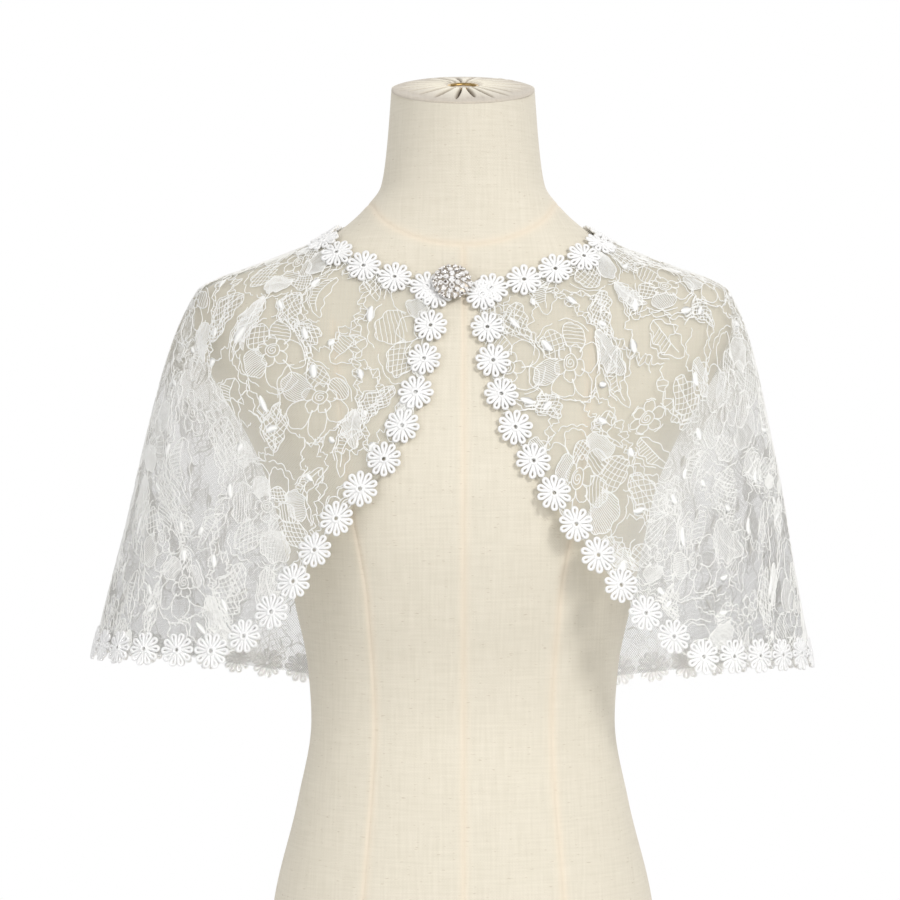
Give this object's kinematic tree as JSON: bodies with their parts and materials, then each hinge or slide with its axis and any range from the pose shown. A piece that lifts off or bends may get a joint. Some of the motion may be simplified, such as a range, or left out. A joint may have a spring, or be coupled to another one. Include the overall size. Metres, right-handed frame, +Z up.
{
  "type": "lace capelet on a dress form",
  "caption": "Short flared lace capelet with daisy trim, closed at the neck by a jewelled button and open below, worn on a limbless linen dress form.",
  "frame": {"origin": "centre of the form's flat base, on the surface it stands on", "axes": "+X to the right of someone facing the front, +Y towards the back, +Z up; the front faces -Y"},
  "size_m": [0.5605, 0.3108, 0.73],
  "materials": {
    "linen": "plain-weave linen with small slubs",
    "cap_linen": "gathered plain-weave linen",
    "eyelet_brass": "polished",
    "lace": "sheer corded lace on fine net",
    "trim_thread": "matt embroidery thread",
    "crystal": "silver filigree set with clear stones"
  },
  "bodies": {
    "root": {"form_torso": "linen", "form_neck_cap": "cap_linen", "form_cap_eyelet": "eyelet_brass", "lace_front_left": "lace", "lace_front_right": "lace", "lace_back": "lace", "trim_neck": "trim_thread", "trim_front_left": "trim_thread", "trim_front_right": "trim_thread", "trim_hem": "trim_thread", "button": "crystal"}
  },
  "joints": []
}
